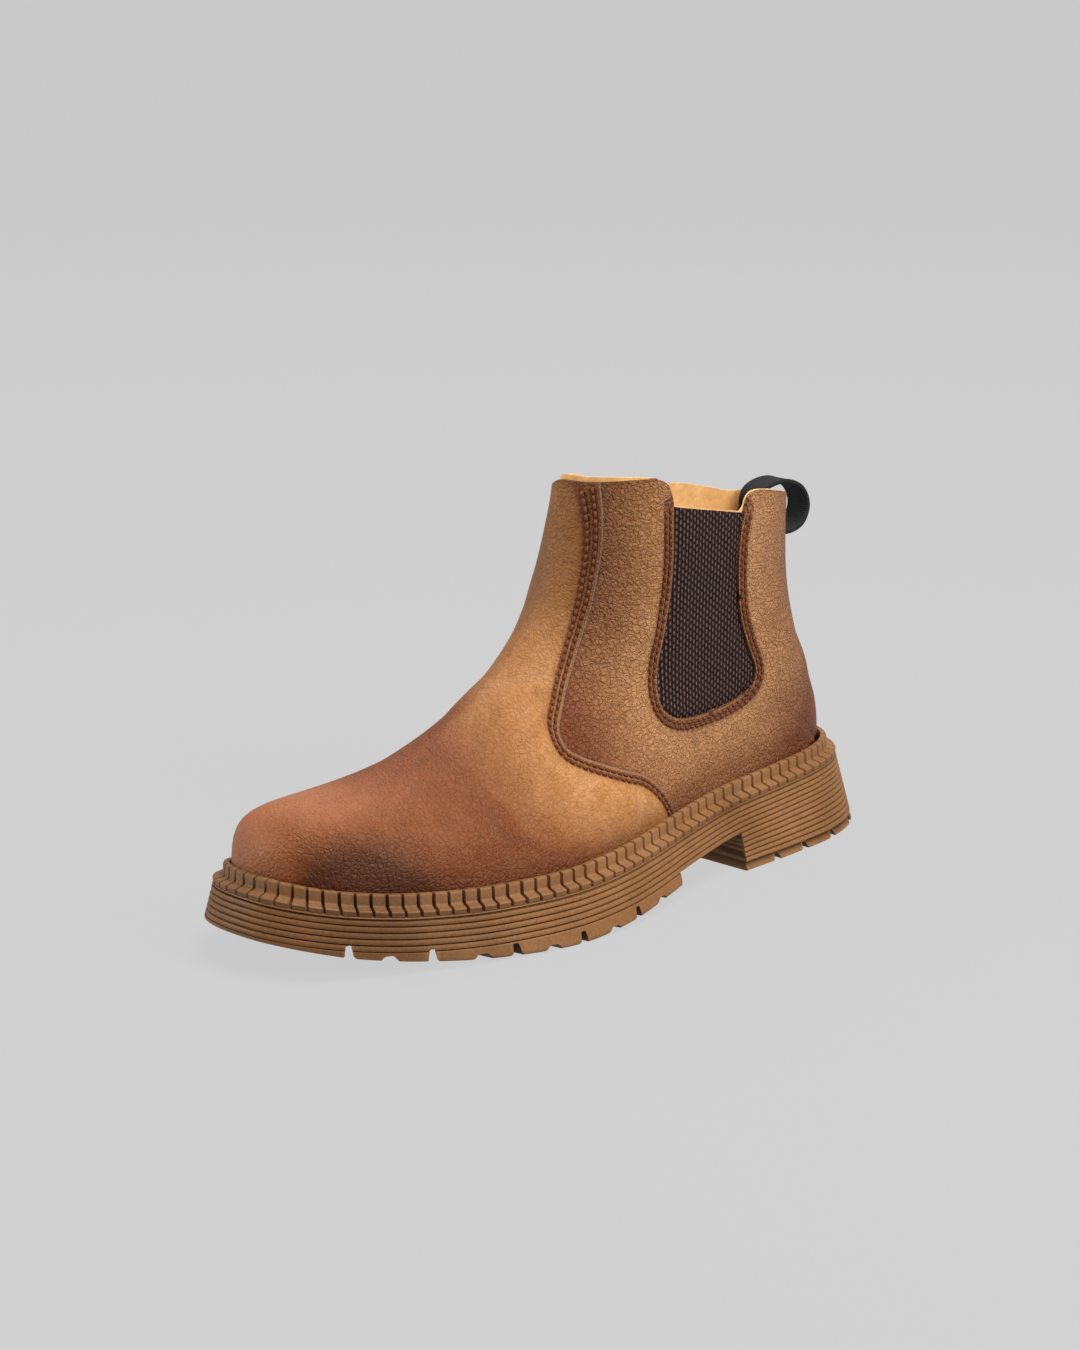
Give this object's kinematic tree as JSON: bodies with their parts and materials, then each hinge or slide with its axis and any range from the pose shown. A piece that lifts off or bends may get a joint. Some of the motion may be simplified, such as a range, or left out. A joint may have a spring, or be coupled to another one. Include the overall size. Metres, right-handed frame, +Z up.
{
  "type": "side gore work boot",
  "caption": "Ankle-high leather work boot with an elastic panel in each side, a webbing pull loop at the back, a toothed welt and a ribbed lug sole.",
  "frame": {"origin": "on the floor under the middle of the whole boot's bounding box", "axes": "X runs from the heel to the toe, Y to the outer (lateral) side of the foot, Z up"},
  "size_m": [0.3076, 0.1106, 0.1585],
  "materials": {
    "outsole_rubber": "matt tan",
    "welt_rubber": "matt tan",
    "insole_fabric": "matt",
    "leather": "oiled, satin",
    "elastic": "ribbed knit",
    "dark_leather": "matt",
    "webbing": "woven"
  },
  "bodies": {
    "root": {"outsole": "outsole_rubber", "welt": "welt_rubber", "insole": "insole_fabric", "upper": "leather", "gore_lateral": "elastic", "gore_medial": "elastic", "back_strip": "dark_leather", "pull_loop": "webbing"}
  },
  "joints": []
}
